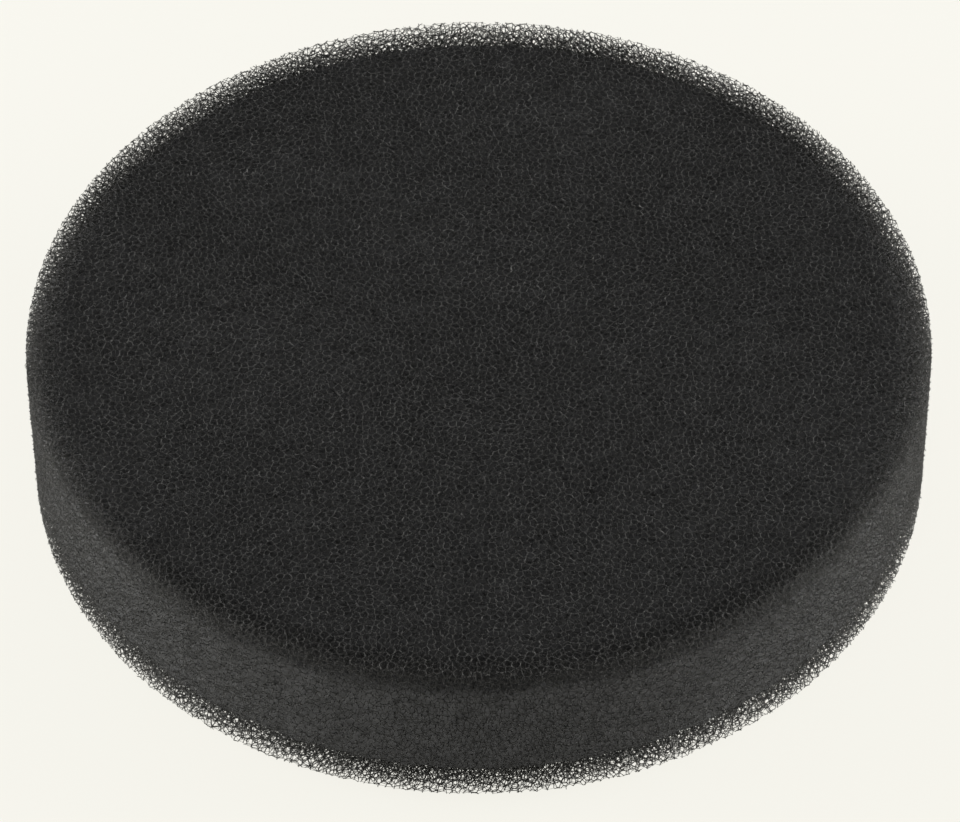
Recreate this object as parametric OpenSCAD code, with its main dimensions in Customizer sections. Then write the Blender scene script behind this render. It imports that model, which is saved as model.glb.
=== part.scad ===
// Hook-and-loop foam polishing pad, in millimetres.
// A flat foam disc is bonded by a hot-melt film to a loop fabric, whose loops face down.
// The origin is the middle of the loop face, and +Z runs up and out of the working face.

/* [Foam] */
// Diameter of the foam disc
foam_d = 150; // [80:0.5:200]
// Thickness of the foam disc
foam_t = 29.5; // [10:0.5:50]
// Radius that the cut edge of the working face has worn to
face_edge_r = 0.4; // [0.2:0.1:4]
// Radius of the edge beside the backing
back_edge_r = 0.4; // [0.2:0.1:3]

/* [Backing] */
// How far the loop fabric stops short of the foam's edge, all round
backing_inset = 7.5; // [0.5:0.1:15]
// Thickness of the hot-melt film that bonds the foam to the fabric
film_t = 0.25; // [0.1:0.05:0.6]
// Thickness of the knitted ground that the loops stand on
ground_t = 0.45; // [0.2:0.05:1]
// Height of the loops under the knitted ground
loop_h = 1.3; // [0.5:0.1:3]

/* [Hidden] */
$fn = 96;

foam_r = foam_d / 2;
backing_r = foam_r - backing_inset;

// The layers stack upwards from the loop face
ground_z = loop_h;
film_z = ground_z + ground_t;
foam_z = film_z + film_t;
face_z = foam_z + foam_t;

// Half of the foam's cross-section, from the axis to the wall, with both cut edges rounded
module foam_half_section() {
    wall_low = foam_z + back_edge_r;
    wall_high = face_z - face_edge_r;
    union() {
        translate([0, foam_z])
            square([foam_r - face_edge_r, foam_t]);
        translate([0, wall_low])
            square([foam_r, wall_high - wall_low]);
        translate([0, foam_z])
            square([foam_r - back_edge_r, foam_t / 2]);
        translate([foam_r - face_edge_r, wall_high])
            circle(r = face_edge_r);
        translate([foam_r - back_edge_r, wall_low])
            circle(r = back_edge_r);
    }
}

// Open-cell polyurethane foam: the body that polishes, and the face that meets the paint
module foam_disc() {
    color("#29292a")
        rotate_extrude()
            foam_half_section();
}

// Hot-melt film between the foam and the fabric
module adhesive_film() {
    color("#b9b4a4")
        translate([0, 0, film_z])
            cylinder(r = backing_r, h = film_t);
}

// Knitted ground of the loop fabric
module ground_cloth() {
    color("#3a3a3b")
        translate([0, 0, ground_z])
            cylinder(r = backing_r, h = ground_t);
}

// Outer shape of the standing loops, which the hooks of a backing plate grip
module loop_pile() {
    color("#4a4a4b")
        cylinder(r = backing_r, h = loop_h);
}

foam_disc();
adhesive_film();
ground_cloth();
loop_pile();
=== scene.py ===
"""Looks of a foam polishing pad: open-cell foam, hot-melt film, knitted ground and standing loops.

The foam is built as it grows. A periodic block of random cells is worked out once, each edge
between cells is a thin three-sided strut, and the struts near the foam's surface are kept.
Where the surface cuts through the cells, the edges of their windows join the ends of the struts.
Deeper in, a dark core stands for the rest of the cells.
"""

import itertools
import math

import bpy
import numpy as np
from mathutils import Matrix, Vector


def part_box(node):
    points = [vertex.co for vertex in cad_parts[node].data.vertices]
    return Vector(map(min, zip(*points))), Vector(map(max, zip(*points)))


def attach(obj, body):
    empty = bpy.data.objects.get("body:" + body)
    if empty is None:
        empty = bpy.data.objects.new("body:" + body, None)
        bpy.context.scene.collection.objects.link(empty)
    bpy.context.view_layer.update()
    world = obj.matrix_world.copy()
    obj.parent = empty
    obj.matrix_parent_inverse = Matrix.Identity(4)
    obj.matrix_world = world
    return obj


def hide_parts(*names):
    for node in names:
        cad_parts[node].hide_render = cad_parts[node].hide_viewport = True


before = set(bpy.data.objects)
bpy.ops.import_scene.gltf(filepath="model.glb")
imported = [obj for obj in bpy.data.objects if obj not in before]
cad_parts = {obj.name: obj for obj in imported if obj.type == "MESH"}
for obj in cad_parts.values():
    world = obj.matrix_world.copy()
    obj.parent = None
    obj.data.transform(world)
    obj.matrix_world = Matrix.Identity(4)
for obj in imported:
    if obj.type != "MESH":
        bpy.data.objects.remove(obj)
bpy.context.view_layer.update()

MM = 0.001
BODY = "root"
# Keeps a division from failing where a length is 0
TINY = 1e-12


def size_of(node):
    """(radius, lowest z, highest z) of a round CAD node, in metres."""
    low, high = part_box(node)
    return (high[0] - low[0]) / 2, low[2], high[2]


FOAM_R, FOAM_LOW, FOAM_HIGH = size_of("foam_disc")
FILM_R, FILM_LOW, FILM_HIGH = size_of("adhesive_film")
GROUND_R, GROUND_LOW, GROUND_HIGH = size_of("ground_cloth")
LOOP_R, LOOP_LOW, LOOP_HIGH = size_of("loop_pile")

# ---------------------------------------------------------------- camera

CAMERA_FROM_FACE = 12 * FOAM_R
CAMERA_ELEVATION = math.radians(46.25)
CAMERA_ROLL = math.radians(-0.32)
LENS_MM = 203.5
SENSOR_MM = 36
# The middle of the picture is on the pad's axis, this far below the working face
AIM_BELOW_FACE = 19.7 * MM
AIM_ASIDE = 0.15 * MM
NEAR_CLIP = 0.05
FAR_CLIP = 20


def make_camera():
    """The photographer's place, high in front of the pad."""
    eye = Vector((0, -math.cos(CAMERA_ELEVATION), math.sin(CAMERA_ELEVATION))) * CAMERA_FROM_FACE
    eye.z += FOAM_HIGH
    aim = Vector((AIM_ASIDE, 0, FOAM_HIGH - AIM_BELOW_FACE))
    data = bpy.data.cameras.new("camera")
    data.lens = LENS_MM
    data.sensor_width = SENSOR_MM
    data.clip_start = NEAR_CLIP
    data.clip_end = FAR_CLIP
    camera = bpy.data.objects.new("camera", data)
    camera.location = eye
    towards = (aim - eye).to_track_quat("-Z", "Y").to_matrix().to_4x4()
    camera.matrix_world = Matrix.Translation(eye) @ towards @ Matrix.Rotation(CAMERA_ROLL, 4, "Z")
    bpy.context.scene.collection.objects.link(camera)
    bpy.context.scene.camera = camera


make_camera()

# ---------------------------------------------------------------- random foam

CELL_PITCH = 1.15 * MM
TILE_CELLS = 9
TILE_SIDE = TILE_CELLS * CELL_PITCH
RELAX_STEPS = 40
# Two middles nearer than this many pitches are pushed apart by this share of what is missing
CLEAR_PITCHES = 1.12
PUSH_SHARE = 0.35
# How many of the nearest cells can share a corner with a cell
NEIGHBOURS = 30
FLAT_VOLUME = 1e-15
ROUNDING = 1e-9


def wrapped(away, side):
    """The shortest way between two points of a block that repeats."""
    return away - side * np.round(away / side)


def cell_middles(rng):
    """Random points in the block, pushed apart until the cells are about the same size."""
    count = TILE_CELLS**3
    points = rng.uniform(0, TILE_SIDE, (count, 3))
    wanted = CLEAR_PITCHES * CELL_PITCH
    for _ in range(RELAX_STEPS):
        away = wrapped(points[:, None] - points[None], TILE_SIDE)
        far = np.linalg.norm(away, axis=2) + TINY
        push = np.clip(wanted - far, 0, None) / far
        np.fill_diagonal(push, 0)
        points = points + PUSH_SHARE * (away * push[:, :, None]).sum(1)
    return points % TILE_SIDE


def cell_edges(points):
    """The edges between the cells: each one's ends, the way to a cell, and its three windows.

    A window is the wall between two cells, named by the point halfway between their middles.
    """
    triples = np.array(list(itertools.combinations(range(NEIGHBOURS), 3)))
    rows = []
    for i, point in enumerate(points):
        away = wrapped(points - point, TILE_SIDE)
        order = np.argsort((away**2).sum(1))[1 : NEIGHBOURS + 1]
        near = away[order]
        half = (near**2).sum(1) / 2
        a, b, c = (near[triples[:, k]] for k in range(3))
        ha, hb, hc = (half[triples[:, k], None] for k in range(3))
        bc = np.cross(b, c)
        volume = (a * bc).sum(1)[:, None]
        volume = np.where(np.abs(volume) < FLAT_VOLUME, FLAT_VOLUME, volume)
        corner = (ha * bc + hb * np.cross(c, a) + hc * np.cross(a, b)) / volume
        real = (corner @ near.T <= half * (1 + ROUNDING)).all(1)
        corner, owners = corner[real], triples[real]
        pairs = {}
        for k, trio in enumerate(owners):
            for pair in itertools.combinations(trio, 2):
                pairs.setdefault(pair, []).append(k)
        for (m, n), found in pairs.items():
            if len(found) == 2 and i < order[m] and i < order[n]:
                p, q = corner[found[0]], corner[found[1]]
                windows = [near[m] / 2, near[n] / 2, (near[m] + near[n]) / 2]
                places = [point + way for way in (p, q, *windows)]
                rows.append([*places[:2], -(p + q) / 2, *places[2:]])
    return np.array(rows).transpose(1, 0, 2)


WAVES = 9
WAVE_LENGTHS = (14 * MM, 40 * MM)
WAVE_STRAIN = 0.10


def warp_waves(rng):
    """Long waves that bend the repeated blocks, so that no block looks like its neighbour."""
    long = rng.uniform(*WAVE_LENGTHS, WAVES)
    way = rng.normal(size=(WAVES, 3))
    way = way / np.linalg.norm(way, axis=1)[:, None] * (2 * math.pi / long)[:, None]
    push = rng.normal(size=(WAVES, 3))
    push = push / np.linalg.norm(push, axis=1)[:, None]
    push = push * (WAVE_STRAIN * long / 2 / math.pi)[:, None]
    return way, push, rng.uniform(0, 2 * math.pi, WAVES)


def warped(points, waves):
    """The points, moved along by the waves."""
    way, push, phase = waves
    return points + np.sin(points @ way.T + phase) @ push


# ---------------------------------------------------------------- the foam's outer shape

# The radii of the foam's two cut edges, as in the CAD
FACE_EDGE_R = 0.4 * MM
BACK_EDGE_R = 0.4 * MM
# Cells are open this far in from the surface, but not behind the film
SHELL_DEPTH = 0.70 * MM
BEHIND_FILM_R = FILM_R - 1 * MM
# Light gets through the cells where the way from one surface to the next is this short
FACE_CORNER = 6.1 * MM
BACK_CORNER = 6.3 * MM


def outside(points):
    """How far each point is outside the foam's surface, and less than 0 inside."""
    radius = np.hypot(points[:, 0], points[:, 1])
    middle = (FOAM_LOW + FOAM_HIGH) / 2
    edge = np.where(points[:, 2] > middle, FACE_EDGE_R, BACK_EDGE_R)
    across = radius - (FOAM_R - edge)
    up = np.abs(points[:, 2] - middle) - ((FOAM_HIGH - FOAM_LOW) / 2 - edge)
    beyond = np.hypot(np.maximum(across, 0), np.maximum(up, 0))
    return beyond + np.minimum(np.maximum(across, up), 0) - edge


def in_shell(points):
    """True where a strut could be seen: near the surface, or in a corner that light crosses."""
    radius = np.hypot(points[:, 0], points[:, 1])
    below_face = FOAM_HIGH - points[:, 2]
    above_back = points[:, 2] - FOAM_LOW
    from_wall = FOAM_R - radius
    out = outside(points)
    bonded = (radius < BEHIND_FILM_R) & (above_back < SHELL_DEPTH)
    near = out > -SHELL_DEPTH
    face_corner = from_wall + below_face < FACE_CORNER
    back_corner = from_wall + above_back < BACK_CORNER
    return (near & ~bonded) | face_corner | back_corner


STRUT_R = 0.064 * MM
WINDOW_EDGE_R = 0.028 * MM
RADIUS_SPREAD = (0.8, 1.25)
SHORTEST_STRUT = 0.06 * MM
LONGEST_WINDOW_EDGE = 2.2 * MM
# How far past the surface the knife leaves a strut
STRAY_MEAN = 0.07 * MM
STRAY_MOST = 0.28 * MM
# The blocks reach this far past the foam on every side
MARGIN = 3 * MM


def foam_struts(rng):
    """Every strut that can be seen: its ends, the way to one of its cells, and its radius."""
    p, q, inward, *windows = cell_edges(cell_middles(rng))
    keep = np.linalg.norm(q - p, axis=1) > SHORTEST_STRUT
    tile = [part[keep] for part in (p, q, inward, *windows)]
    waves = warp_waves(rng)
    blocks = math.ceil(2 * (FOAM_R + MARGIN) / TILE_SIDE)
    floors = math.ceil((FOAM_HIGH - FOAM_LOW + 2 * MARGIN) / TILE_SIDE)
    low = np.array([-blocks * TILE_SIDE / 2, -blocks * TILE_SIDE / 2, FOAM_LOW - MARGIN])
    found = []
    for ix, iy, iz in itertools.product(range(blocks), range(blocks), range(floors)):
        shift = low + np.array([ix, iy, iz]) * TILE_SIDE
        p, q = warped(tile[0] + shift, waves), warped(tile[1] + shift, waves)
        keep = (np.minimum(outside(p), outside(q)) < 0) & (in_shell(p) | in_shell(q))
        if keep.any():
            windows = (window[keep] + shift for window in tile[3:])
            found.append(np.stack([p[keep], q[keep], tile[2][keep], *windows]))
    p, q, inward, *windows = np.concatenate(found, axis=1)
    a, b, towards = window_edges(p, q, inward, windows)
    p, q = cut_off(p, q, rng.exponential(STRAY_MEAN, len(p)).clip(0, STRAY_MOST))
    radius = np.concatenate([np.full(len(p), STRUT_R), np.full(len(a), WINDOW_EDGE_R)])
    radius = radius * rng.uniform(*RADIUS_SPREAD, len(radius))
    ends = np.concatenate([p, a]), np.concatenate([q, b])
    return *ends, np.concatenate([inward, towards]), radius


def cut_off(p, q, stray):
    """The struts as the knife leaves them: cut at the surface, or a little way past it."""
    for _ in range(2):
        out_p, out_q = outside(p) - stray, outside(q) - stray
        share = np.clip(out_p / (out_p - out_q + TINY), 0, 1)[:, None]
        meet = p + (q - p) * share
        p = np.where((out_p > 0)[:, None], meet, p)
        q = np.where((out_q > 0)[:, None], meet, q)
    return p, q


# A window's name is one whole number, from its place in microns
MICRON = 1e-6
KEY_STEP = 2**18


def window_edges(p, q, inward, windows):
    """What the knife leaves of the windows: their edges, between the cut ends of their struts."""
    crosses = outside(p) * outside(q) < 0
    p, q, inward = p[crosses], q[crosses], inward[crosses]
    flipped = (outside(p) > 0)[:, None]
    cut = cut_off(np.where(flipped, q, p), np.where(flipped, p, q), 0)[1]
    keys = []
    for window in windows:
        x, y, z = (np.round(window[crosses] / MICRON).astype(np.int64) + KEY_STEP // 2).T
        keys.append((x * KEY_STEP + y) * KEY_STEP + z)
    key = np.concatenate(keys)
    strut = np.tile(np.arange(len(cut)), len(windows))
    order = np.argsort(key, kind="stable")
    pair = np.flatnonzero(key[order][1:] == key[order][:-1])
    first, second = strut[order[pair]], strut[order[pair + 1]]
    a, b = cut[first], cut[second]
    long = np.linalg.norm(b - a, axis=1)
    keep = (long > SHORTEST_STRUT) & (long < LONGEST_WINDOW_EDGE) & in_shell(a) & in_shell(b)
    return a[keep], b[keep], inward[first][keep]


# ---------------------------------------------------------------- meshes


def new_mesh(name, points, faces_by_size):
    """An object from points and arrays of faces, one array for each number of corners."""
    mesh = bpy.data.meshes.new(name)
    corners = np.concatenate([f.ravel() for f in faces_by_size]).astype(np.int32)
    sizes = np.concatenate([np.full(len(f), f.shape[1]) for f in faces_by_size])
    starts = np.concatenate([[0], np.cumsum(sizes)[:-1]]).astype(np.int32)
    mesh.vertices.add(len(points))
    mesh.vertices.foreach_set("co", points.astype(np.float32).ravel())
    mesh.loops.add(len(corners))
    mesh.loops.foreach_set("vertex_index", corners)
    mesh.polygons.add(len(sizes))
    mesh.polygons.foreach_set("loop_start", starts)
    mesh.polygons.foreach_set("use_smooth", np.ones(len(sizes), bool))
    mesh.update(calc_edges=True)
    obj = bpy.data.objects.new(name, mesh)
    bpy.context.scene.collection.objects.link(obj)
    return obj


STRUT_SIDES = 3
# How far a strut runs on past its ends, in radii, so that struts meet
RUN_ON = 0.5
NO_LENGTH = 1e-15


def strut_mesh(name, p, q, inward, radius):
    """Closed three-sided struts from p to q, each with a flat side towards its cell."""
    along = q - p
    along = along / (np.linalg.norm(along, axis=1)[:, None] + NO_LENGTH)
    up = inward - along * (inward * along).sum(1)[:, None]
    up = -up / (np.linalg.norm(up, axis=1)[:, None] + NO_LENGTH)
    side = np.cross(along, up)
    grow = along * radius[:, None] * RUN_ON
    rings = []
    for end in (p - grow, q + grow):
        for k in range(STRUT_SIDES):
            turn = 2 * math.pi * k / STRUT_SIDES
            reach = up * math.cos(turn) + side * math.sin(turn)
            rings.append(end + reach * radius[:, None])
    points = np.stack(rings, axis=1).reshape(-1, 3)
    first = np.arange(len(p))[:, None] * 2 * STRUT_SIDES
    sides = [first + np.array([quad]) for quad in ([0, 1, 4, 3], [1, 2, 5, 4], [2, 0, 3, 5])]
    caps = [first + np.array([cap]) for cap in ([2, 1, 0], [3, 4, 5])]
    return new_mesh(name, points, [np.concatenate(sides), np.concatenate(caps)])


SECTORS = 24
SHORTEST_LEFT = 0.015 * MM


def make_cells(rng, material):
    """The open cells, in sectors round the pad, so that no one mesh is very heavy."""
    p, q, inward, radius = foam_struts(rng)
    keep = np.linalg.norm(q - p, axis=1) > SHORTEST_LEFT
    p, q, inward, radius = p[keep], q[keep], inward[keep], radius[keep]
    middle = (p + q) / 2
    turn = np.arctan2(middle[:, 1], middle[:, 0])
    order = np.argsort(turn, kind="stable")
    for k, chosen in enumerate(np.array_split(order, SECTORS)):
        struts = (part[chosen] for part in (p, q, inward, radius))
        piece = strut_mesh(f"foam_cells_{k + 1:02d}", *struts)
        dress(piece, material)
        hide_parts("foam_disc")


def dress(piece, material):
    """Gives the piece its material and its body."""
    piece.data.materials.append(material)
    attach(piece, BODY)


CORE_TURNS = 180
CORE_VOXEL = 0.9 * MM
CORE_BOTTOM_R = FILM_R - 0.5 * MM
CORE_BOTTOM = FOAM_LOW + 0.02 * MM
# The dents that stand for cells: their size, their depth, and the level that stays in place
DENT_SIZE = 1.6 * CELL_PITCH
DENT_DEPTH = 0.7 * MM
DENT_LEVEL = 0.3


def core_outline():
    """Half of the core's section, as (radius, z) from the axis over the top to the bottom."""
    face = FOAM_HIGH - SHELL_DEPTH
    wall = FOAM_R - SHELL_DEPTH
    return [
        (0, face),
        (FOAM_R - FACE_CORNER + SHELL_DEPTH, face),
        (wall, FOAM_HIGH - FACE_CORNER + SHELL_DEPTH),
        (wall, FOAM_LOW + BACK_CORNER - SHELL_DEPTH),
        (FOAM_R - BACK_CORNER + SHELL_DEPTH, FOAM_LOW + SHELL_DEPTH),
        (CORE_BOTTOM_R, CORE_BOTTOM),
        (0, CORE_BOTTOM),
    ]


def apply_modifiers(obj):
    """Puts the mesh that the modifiers make in the place of the object's own."""
    graph = bpy.context.evaluated_depsgraph_get()
    mesh = bpy.data.meshes.new_from_object(obj.evaluated_get(graph))
    obj.modifiers.clear()
    old = obj.data
    obj.data = mesh
    bpy.data.meshes.remove(old)


def make_core(material):
    """The dark inside of the foam, with the hollows of the deeper cells."""
    outline = core_outline()
    points = []
    for k in range(CORE_TURNS):
        turn = 2 * math.pi * k / CORE_TURNS
        points += [(r * math.cos(turn), r * math.sin(turn), z) for r, z in outline[1:-1]]
    rows = len(outline) - 2
    points += [(0, 0, outline[0][1]), (0, 0, outline[-1][1])]
    top, bottom = len(points) - 2, len(points) - 1
    quads, tris = [], []
    for k in range(CORE_TURNS):
        a, b = k * rows, (k + 1) % CORE_TURNS * rows
        quads += [(a + j, a + j + 1, b + j + 1, b + j) for j in range(rows - 1)]
        tris += [(top, a, b), (bottom, b + rows - 1, a + rows - 1)]
    core = new_mesh("foam_core", np.array(points), [np.array(quads), np.array(tris)])
    remesh = core.modifiers.new("remesh", "REMESH")
    remesh.mode = "VOXEL"
    remesh.voxel_size = CORE_VOXEL
    cells = bpy.data.textures.new("core_cells", "VORONOI")
    cells.noise_scale = DENT_SIZE
    dents = core.modifiers.new("dents", "DISPLACE")
    dents.texture = cells
    dents.texture_coords = "LOCAL"
    dents.strength = -DENT_DEPTH
    dents.mid_level = DENT_LEVEL
    apply_modifiers(core)
    core.data.polygons.foreach_set("use_smooth", np.ones(len(core.data.polygons), bool))
    dress(core, material)
    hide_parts("foam_disc")


# ---------------------------------------------------------------- backing

LAYER_TURNS = 360
EDGE_WAVES = 14
EDGE_WAVE_COUNTS = (3, 90)


def wavy_edge(rng, radius, depth):
    """A cut edge's radius all round, up to depth inside radius."""
    turns = 2 * math.pi * np.arange(LAYER_TURNS) / LAYER_TURNS
    waves = rng.integers(*EDGE_WAVE_COUNTS, EDGE_WAVES)
    wave = np.sin(turns[:, None] * waves + rng.uniform(0, 2 * math.pi, len(waves))).mean(1)
    return radius - depth * (0.5 + wave).clip(0, 1)


def round_layer(name, edge, low, high, rings, relief):
    """A closed round layer with a flat top, whose low side rises above low by relief(x, y)."""
    turns = 2 * math.pi * np.arange(LAYER_TURNS) / LAYER_TURNS
    radius = np.arange(1, rings + 1)[:, None] / rings * edge
    x, y = radius * np.cos(turns), radius * np.sin(turns)
    under = np.stack([x, y, low + relief(x, y)], axis=-1)
    over = under[-1].copy()
    over[:, 2] = high
    points = np.concatenate([[(0, 0, low)], under.reshape(-1, 3), over, [(0, 0, high)]])
    k = np.arange(LAYER_TURNS)
    after = (k + 1) % LAYER_TURNS
    quads = []
    for ring in range(rings):
        inner, outer = 1 + ring * LAYER_TURNS, 1 + (ring + 1) * LAYER_TURNS
        quads.append(np.column_stack([inner + k, inner + after, outer + after, outer + k]))
    first_high = 1 + rings * LAYER_TURNS
    fans = [
        np.column_stack([0 * k, 1 + after, 1 + k]),
        np.column_stack([0 * k + len(points) - 1, first_high + k, first_high + after]),
    ]
    return new_mesh(name, points, [np.concatenate(quads), np.concatenate(fans)])


FILM_RINGS = 40
FILM_EDGE_WAVE = 0.35 * MM
WRINKLE_HEIGHT = 0.02 * MM
WRINKLE_ACROSS = 1.3 * MM
WRINKLE_ALONG = 3.1 * MM


def make_film(rng, material):
    """Hot-melt film, which wrinkles a little where the cells press into it."""

    def wrinkles(x, y):
        bend = 2 * np.sin(y / WRINKLE_ALONG)
        return WRINKLE_HEIGHT * (1 + np.sin(x / WRINKLE_ACROSS + bend))

    edge = wavy_edge(rng, FILM_R, FILM_EDGE_WAVE)
    film = round_layer("hot_melt_film", edge, FILM_LOW, FILM_HIGH, FILM_RINGS, wrinkles)
    dress(film, material)
    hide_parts("adhesive_film")


GROUND_RINGS = 110
GROUND_EDGE_WAVE = 0.5 * MM
WALE = 1.6 * MM
COURSE = 2.1 * MM
STITCH_DEPTH = 0.13 * MM
# How much of the depth is the wales'; the courses have the rest
WALE_SHARE = 0.6
COURSE_BEND = 0.25


def make_ground(rng, material):
    """The knitted ground, with its wales side by side and its courses across them."""

    def stitches(x, y):
        side = np.cos(2 * math.pi * x / WALE)
        wale = 0.5 + 0.5 * side
        course = 0.5 + 0.5 * np.cos(2 * math.pi * (y / COURSE + COURSE_BEND * side))
        return STITCH_DEPTH * (1 - WALE_SHARE * wale - (1 - WALE_SHARE) * course)

    edge = wavy_edge(rng, GROUND_R, GROUND_EDGE_WAVE)
    ground = round_layer("knitted_ground", edge, GROUND_LOW, GROUND_HIGH, GROUND_RINGS, stitches)
    dress(ground, material)
    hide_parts("ground_cloth")


LOOP_PITCH = 1.25 * MM
LOOP_JITTER = 0.28 * MM
LOOP_POINTS = 7
LOOP_GROUPS = 3
# Loops stand this far in from the edge, and start this far up in the ground
LOOP_INSET = 1.1 * MM
LOOP_ROOT = 0.1 * MM
LOOP_TURN = 0.55
LOOP_LEAN = 0.28
LOOP_WIDTH = (0.55, 1.0)
LOOP_DROP = (0.72, 1.0)
# A power under 1 makes the tip blunt, and a bulge makes the loop wider between root and tip
TIP_POWER = 0.75
BULGE = 0.45
YARN_R = 0.075 * MM
YARN_SIDES = 3


def loop_paths(rng):
    """The middle line of every loop, and the way across its plane."""
    side = np.arange(-LOOP_R, LOOP_R, LOOP_PITCH)
    x, y = (grid.ravel() for grid in np.meshgrid(side, side))
    x = x + rng.normal(0, LOOP_JITTER, len(x))
    y = y + rng.normal(0, LOOP_JITTER, len(y))
    keep = np.hypot(x, y) < LOOP_R - LOOP_INSET
    x, y = x[keep], y[keep]
    turn = rng.normal(0, LOOP_TURN, len(x))
    width = rng.uniform(*LOOP_WIDTH, len(x)) * MM
    drop = (LOOP_HIGH - LOOP_LOW - YARN_R) * rng.uniform(*LOOP_DROP, len(x))
    lean = rng.normal(0, LOOP_LEAN, (len(x), 2))
    t = np.linspace(0, 1, LOOP_POINTS)
    down = np.sin(math.pi * t) ** TIP_POWER
    open_out = (t - 0.5) * (1 + BULGE * np.sin(math.pi * t) ** 2)
    along = np.stack([np.sin(turn), np.cos(turn)], axis=1)
    flat = np.stack([x, y], axis=1)[:, None]
    flat = flat + along[:, None] * (width[:, None] * open_out)[..., None]
    flat = flat + lean[:, None] * (drop[:, None] * down)[..., None]
    height = GROUND_LOW + LOOP_ROOT - (drop + LOOP_ROOT)[:, None] * down
    across = np.stack([along[:, 1], -along[:, 0], np.zeros(len(x))], axis=1)
    return np.concatenate([flat, height[..., None]], axis=-1), across


def yarn_mesh(name, paths, across):
    """Closed tubes of yarn along paths."""
    ahead = np.gradient(paths, axis=1)
    ahead = ahead / np.linalg.norm(ahead, axis=-1, keepdims=True)
    out = np.cross(ahead, across[:, None])
    out = out / np.linalg.norm(out, axis=-1, keepdims=True)
    beside = np.cross(out, ahead)
    turns = 2 * math.pi * np.arange(YARN_SIDES) / YARN_SIDES
    ring = [out * math.cos(turn) + beside * math.sin(turn) for turn in turns]
    points = (paths[:, :, None] + YARN_R * np.stack(ring, axis=2)).reshape(-1, 3)
    per_loop = LOOP_POINTS * YARN_SIDES
    first = np.arange(len(paths))[:, None] * per_loop
    quads = []
    for j, k in itertools.product(range(LOOP_POINTS - 1), range(YARN_SIDES)):
        a, b = j * YARN_SIDES + k, j * YARN_SIDES + (k + 1) % YARN_SIDES
        quads.append(first + np.array([[a, b, b + YARN_SIDES, a + YARN_SIDES]]))
    caps = [first + np.array([[2, 1, 0]]), first + per_loop - np.array([[3, 2, 1]])]
    return new_mesh(name, points, [np.concatenate(quads), np.concatenate(caps)])


def make_loops(rng, material):
    """The standing loops, in strips side by side."""
    paths, across = loop_paths(rng)
    order = np.argsort(paths[:, 0, 0], kind="stable")
    made = []
    for k, chosen in enumerate(np.array_split(order, LOOP_GROUPS)):
        loops = yarn_mesh(f"loops_{k + 1}", paths[chosen], across[chosen])
        dress(loops, material)
        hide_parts("loop_pile")
        made.append(loops)
    return made


# ---------------------------------------------------------------- materials


def grey(level):
    return (level, level, level)


def node_material(name):
    """A new material, its node tree and its Principled shader."""
    material = bpy.data.materials.new(name)
    material.use_nodes = True
    tree = material.node_tree
    shader = tree.nodes["Principled BSDF"]
    return material, tree, shader


def noise(tree, scale, detail=3.0, roughness=0.55):
    """A noise texture in the object's own metres, with scale as its size in metres."""
    place = tree.nodes.new("ShaderNodeTexCoord")
    texture = tree.nodes.new("ShaderNodeTexNoise")
    texture.inputs["Scale"].default_value = 1 / scale
    texture.inputs["Detail"].default_value = detail
    texture.inputs["Roughness"].default_value = roughness
    tree.links.new(place.outputs["Object"], texture.inputs["Vector"])
    return texture.outputs["Fac"]


def ramp(tree, value, stops):
    """The value as a colour, between the colours of its stops."""
    node = tree.nodes.new("ShaderNodeValToRGB")
    tree.links.new(value, node.inputs["Fac"])
    for k, (at, colour) in enumerate(stops):
        stop = node.color_ramp.elements[k] if k < 2 else node.color_ramp.elements.new(at)
        stop.position = at
        stop.color = (*colour, 1)
    return node.outputs["Color"]


def bump(tree, shader, value, strength, distance):
    """Raises the shader's surface by the value, up to distance."""
    node = tree.nodes.new("ShaderNodeBump")
    node.inputs["Strength"].default_value = strength
    node.inputs["Distance"].default_value = distance
    tree.links.new(value, node.inputs["Height"])
    tree.links.new(node.outputs["Normal"], shader.inputs["Normal"])


# The share of the light that thin struts let through, and its colour
STRUT_GLOW = 0.36
STRUT_TINT = (0.72, 0.715, 0.69)
STRUT_SHINE = 0.15
CORE_SHINE = 0.1


def foam_material(name, dark, light):
    """Black polyurethane, mottled a little where the cells are more or less open."""
    material, tree, shader = node_material(name)
    mottle = noise(tree, 5 * MM)
    colour = ramp(tree, mottle, [(0.3, grey(dark)), (0.7, grey(light))])
    tree.links.new(colour, shader.inputs["Base Color"])
    rough = ramp(tree, noise(tree, 0.8 * MM), [(0.3, grey(0.5)), (0.7, grey(0.75))])
    tree.links.new(rough, shader.inputs["Roughness"])
    bump(tree, shader, noise(tree, 0.12 * MM), 0.3, 0.02 * MM)
    return material, tree, shader


def core_material():
    """Deep cells send hardly any clear reflection back."""
    material, _, shader = foam_material("deep_foam", 0.056, 0.070)
    shader.inputs["Specular IOR Level"].default_value = CORE_SHINE
    return material


def strut_material():
    """The foam with some light coming through its thin struts."""
    material, tree, shader = foam_material("open_foam", 0.016, 0.028)
    shader.inputs["Specular IOR Level"].default_value = STRUT_SHINE
    through = tree.nodes.new("ShaderNodeBsdfTranslucent")
    through.inputs["Color"].default_value = (*STRUT_TINT, 1)
    mix = tree.nodes.new("ShaderNodeMixShader")
    mix.inputs["Fac"].default_value = STRUT_GLOW
    tree.links.new(shader.outputs["BSDF"], mix.inputs[1])
    tree.links.new(through.outputs["BSDF"], mix.inputs[2])
    tree.links.new(mix.outputs["Shader"], tree.nodes["Material Output"].inputs["Surface"])
    return material


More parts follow.
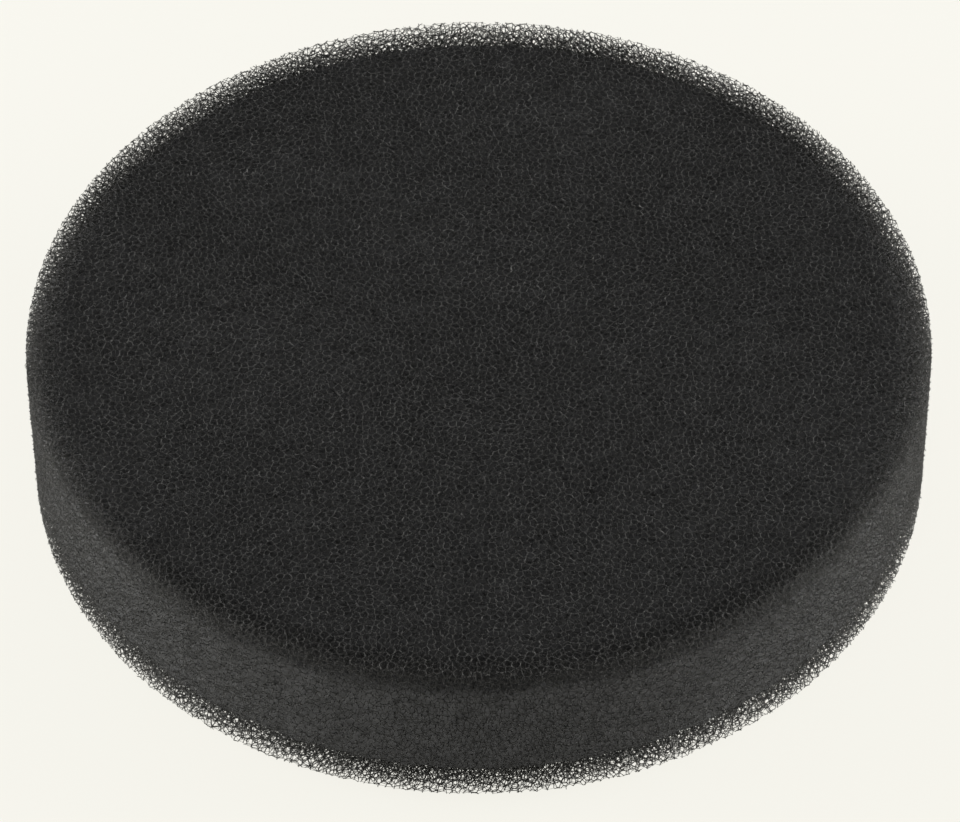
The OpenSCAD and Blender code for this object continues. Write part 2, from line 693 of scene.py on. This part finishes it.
def film_material():
    """Hot-melt adhesive: pale, a little glossy, and cloudy where it has run into the cells."""
    material, tree, shader = node_material("hot_melt")
    stops = [(0.35, (0.36, 0.33, 0.26)), (0.7, (0.52, 0.49, 0.41))]
    colour = ramp(tree, noise(tree, 2.5 * MM), stops)
    tree.links.new(colour, shader.inputs["Base Color"])
    rough = ramp(tree, noise(tree, 0.9 * MM), [(0.3, grey(0.28)), (0.7, grey(0.5))])
    tree.links.new(rough, shader.inputs["Roughness"])
    bump(tree, shader, noise(tree, 0.5 * MM), 0.4, 0.05 * MM)
    return material


def yarn_material(name, dark, light, strand):
    """Dull nylon yarn, with strand as the size of the fine lines of its filaments."""
    material, tree, shader = node_material(name)
    colour = ramp(tree, noise(tree, 1.8 * MM), [(0.3, grey(dark)), (0.7, grey(light))])
    tree.links.new(colour, shader.inputs["Base Color"])
    rough = ramp(tree, noise(tree, 0.5 * MM), [(0.3, grey(0.48)), (0.7, grey(0.7))])
    tree.links.new(rough, shader.inputs["Roughness"])
    shader.inputs["Sheen Weight"].default_value = 0.25
    shader.inputs["Sheen Roughness"].default_value = 0.4
    bump(tree, shader, noise(tree, strand, detail=4.0, roughness=0.7), 0.6, 0.03 * MM)
    return material


FLOOR_GLOW = 0.86
FLOOR_TINT = (1.0, 0.985, 0.91)
FLOOR_BASE = 0.08


def floor_material():
    """A pale floor that is lit from within, so that hardly any shadow falls on it."""
    material, _, shader = node_material("pale_floor")
    shader.inputs["Base Color"].default_value = (*grey(FLOOR_BASE), 1)
    shader.inputs["Roughness"].default_value = 0.9
    shader.inputs["Emission Color"].default_value = (*FLOOR_TINT, 1)
    shader.inputs["Emission Strength"].default_value = FLOOR_GLOW
    return material


# ---------------------------------------------------------------- stage and light

FLOOR_R = 3.0
# The sky darkens from the horizon up to this height on a sphere of radius 1
HORIZON = 1.0
OVERHEAD = 0.29
OVERHEAD_FROM = 0.7
# A low softbox stands on each side and a weaker one in front, this far from the middle
SOFTBOX_AWAY = 0.9
SOFTBOX_LONG = 0.75
SOFTBOX_TALL = 0.16
SOFTBOX_LOW = 0.05
SOFTBOX_SPREAD = math.radians(70)
SIDE_WATTS = 2.5
SIDE_TURN = math.radians(100)
FRONT_WATTS = 0.28


def softbox(name, turn, watts):
    """A lamp that faces the pad, turned round it from the front. The camera doesn't see it."""
    data = bpy.data.lights.new(name, "AREA")
    data.shape = "RECTANGLE"
    data.size = SOFTBOX_LONG
    data.size_y = SOFTBOX_TALL
    data.energy = watts
    data.spread = SOFTBOX_SPREAD
    lamp = bpy.data.objects.new(name, data)
    lamp.location = (
        SOFTBOX_AWAY * math.sin(turn),
        -SOFTBOX_AWAY * math.cos(turn),
        SOFTBOX_LOW + SOFTBOX_TALL / 2,
    )
    lamp.rotation_euler = (math.pi / 2, 0, turn)
    lamp.visible_camera = False
    bpy.context.scene.collection.objects.link(lamp)


def make_stage():
    """The floor, and a sky that is brightest at the horizon."""
    bpy.ops.mesh.primitive_circle_add(
        vertices=64, radius=FLOOR_R, fill_type="NGON", location=(0, 0, 0)
    )
    floor = bpy.context.active_object
    floor.name = "floor"
    floor.data.materials.append(floor_material())
    world = bpy.data.worlds.new("studio")
    world.use_nodes = True
    tree = world.node_tree
    place = tree.nodes.new("ShaderNodeTexCoord")
    split = tree.nodes.new("ShaderNodeSeparateXYZ")
    tree.links.new(place.outputs["Generated"], split.inputs["Vector"])
    stops = [(0.0, grey(HORIZON)), (OVERHEAD_FROM, grey(OVERHEAD))]
    light = ramp(tree, split.outputs["Z"], stops)
    tree.links.new(light, tree.nodes["Background"].inputs["Color"])
    bpy.context.scene.world = world
    bpy.context.scene.view_settings.view_transform = "Standard"


# ---------------------------------------------------------------- build

make_core(core_material())
make_cells(np.random.default_rng(7), strut_material())
make_film(np.random.default_rng(11), film_material())
loop_yarn = yarn_material("loop_yarn", 0.030, 0.052, strand=0.09 * MM)
loops = make_loops(np.random.default_rng(12), loop_yarn)
ground_yarn = yarn_material("ground_yarn", 0.020, 0.034, strand=0.14 * MM)
make_ground(np.random.default_rng(13), ground_yarn)
make_stage()
softbox("softbox_left", -SIDE_TURN, SIDE_WATTS)
softbox("softbox_right", SIDE_TURN, SIDE_WATTS)
softbox("softbox_front", 0, FRONT_WATTS)
